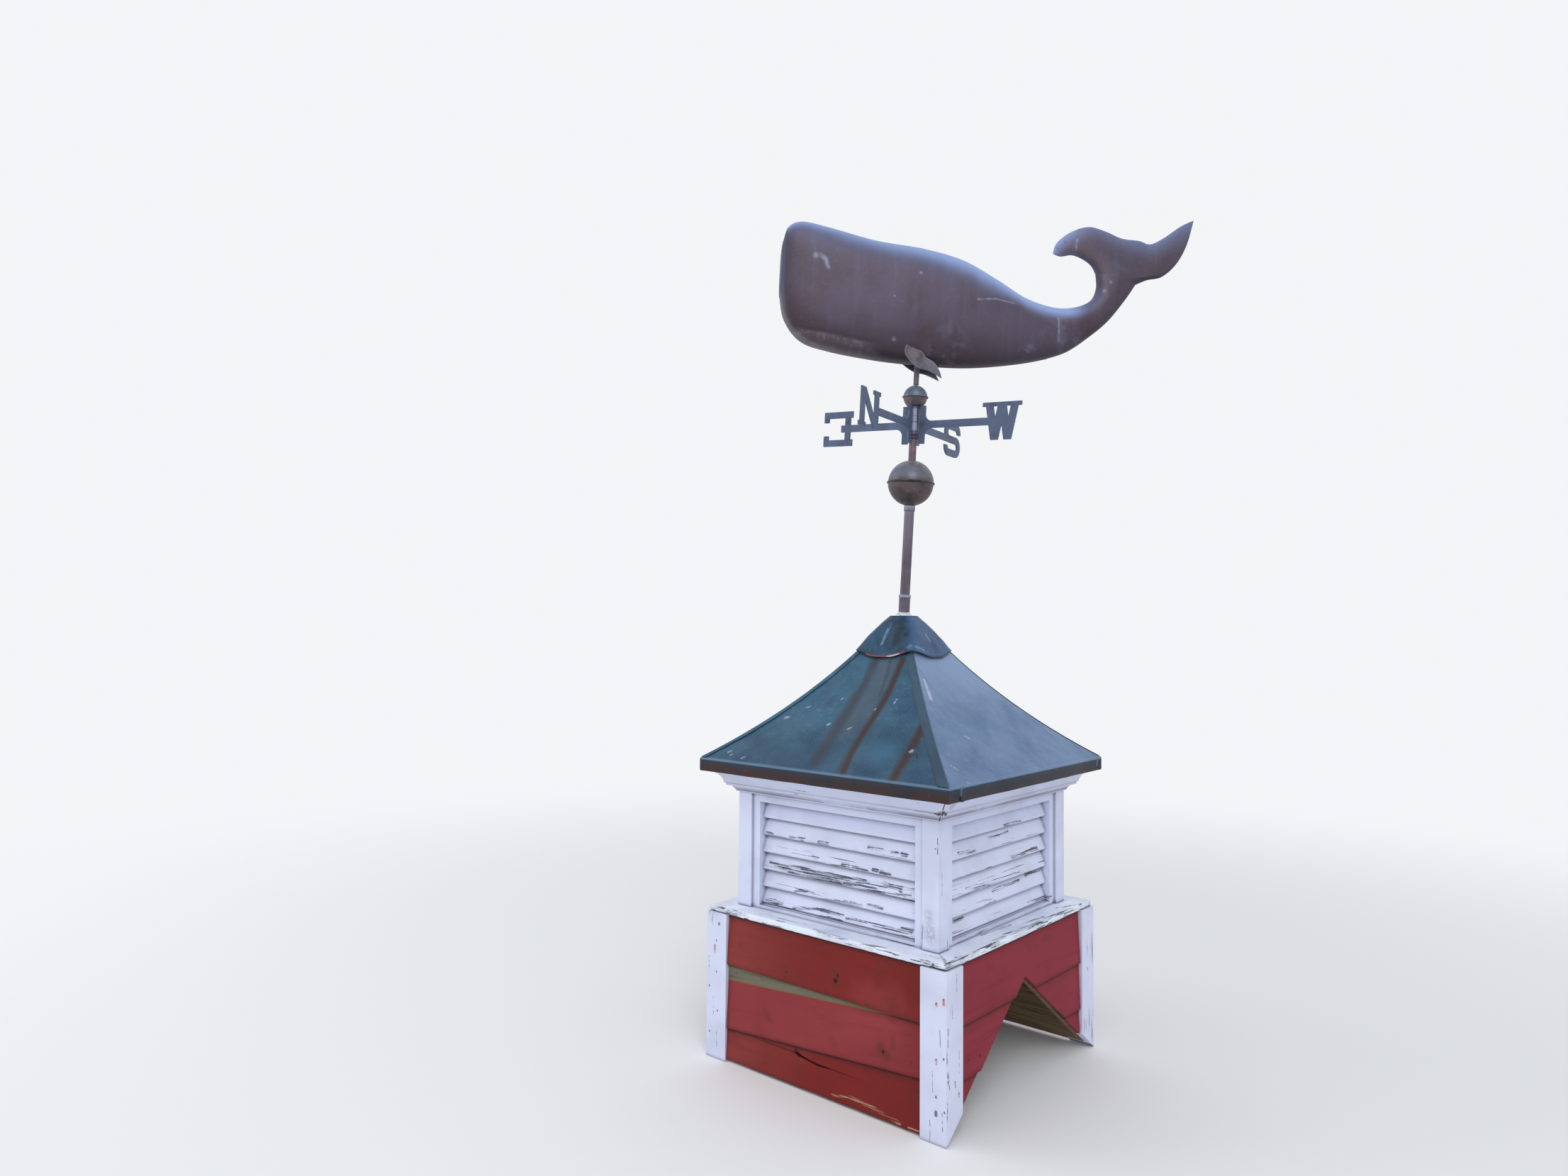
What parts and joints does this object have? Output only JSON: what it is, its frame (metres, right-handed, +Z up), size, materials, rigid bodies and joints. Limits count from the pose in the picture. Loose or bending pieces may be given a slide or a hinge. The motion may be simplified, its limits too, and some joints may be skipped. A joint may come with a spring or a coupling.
{
  "type": "roof cupola with whale weathervane",
  "caption": "Square louvred wooden cupola with a clapboard base notched for a roof ridge, a hollow-curved copper roof, a compass cross and a whale weathervane that turns on its pole.",
  "frame": {"origin": "on the cupola's axis, level with the lowest points of the base", "axes": "+Z up, -Y out of the front face, +X out of the right face along the roof ridge that the base straddles"},
  "size_m": [0.8044, 0.7702, 1.8658],
  "materials": {
    "white_painted_wood": "worn white paint on wood, grey where it has cracked",
    "barn_red_wood": "barn red stain on clapboards, peeled at the lower edge",
    "raw_wood": "unpainted boards",
    "patina_copper": "sheet copper with blue-green patina and brown streaks",
    "brown_copper": "weathered brown copper with a blue sheen",
    "red_copper": "dull red copper tube",
    "spindle_steel": "plain round steel rod"
  },
  "bodies": {
    "cupola": {"base_wall_front": "raw_wood", "base_wall_right": "raw_wood", "base_wall_back": "raw_wood", "base_wall_left": "raw_wood", "clapboards_front": "barn_red_wood", "clapboards_right": "barn_red_wood", "clapboards_back": "barn_red_wood", "clapboards_left": "barn_red_wood", "corner_boards_front_right": "white_painted_wood", "corner_boards_back_right": "white_painted_wood", "corner_boards_back_left": "white_painted_wood", "corner_boards_front_left": "white_painted_wood", "sill_front": "white_painted_wood", "sill_right": "white_painted_wood", "sill_back": "white_painted_wood", "sill_left": "white_painted_wood", "post_front_right": "white_painted_wood", "post_back_right": "white_painted_wood", "post_back_left": "white_painted_wood", "post_front_left": "white_painted_wood", "louvre_front": "white_painted_wood", "louvre_right": "white_painted_wood", "louvre_back": "white_painted_wood", "louvre_left": "white_painted_wood", "crown_front": "white_painted_wood", "crown_right": "white_painted_wood", "crown_back": "white_painted_wood", "crown_left": "white_painted_wood", "eave_frame": "raw_wood", "deck_front": "raw_wood", "deck_right": "raw_wood", "deck_back": "raw_wood", "deck_left": "raw_wood", "peak_block": "raw_wood", "copper_roof": "patina_copper", "roof_cap": "patina_copper", "vane_pole": "brown_copper", "spindle": "spindle_steel", "globe": "brown_copper", "neck_tube": "red_copper", "hub": "brown_copper", "arm_north": "brown_copper", "arm_east": "brown_copper", "arm_south": "brown_copper", "arm_west": "brown_copper", "small_globe": "brown_copper"},
    "whale": {"whale_tube": "brown_copper", "whale_body": "brown_copper", "whale_flukes": "brown_copper", "whale_fins": "brown_copper"}
  },
  "joints": [
    {"name": "vane_turn", "type": "hinge", "parent": "cupola", "child": "whale", "pos_m": [0, 0, 0.9575], "axis": [0.0506, 0.0135, 0.9986], "continuous": true}
  ]
}
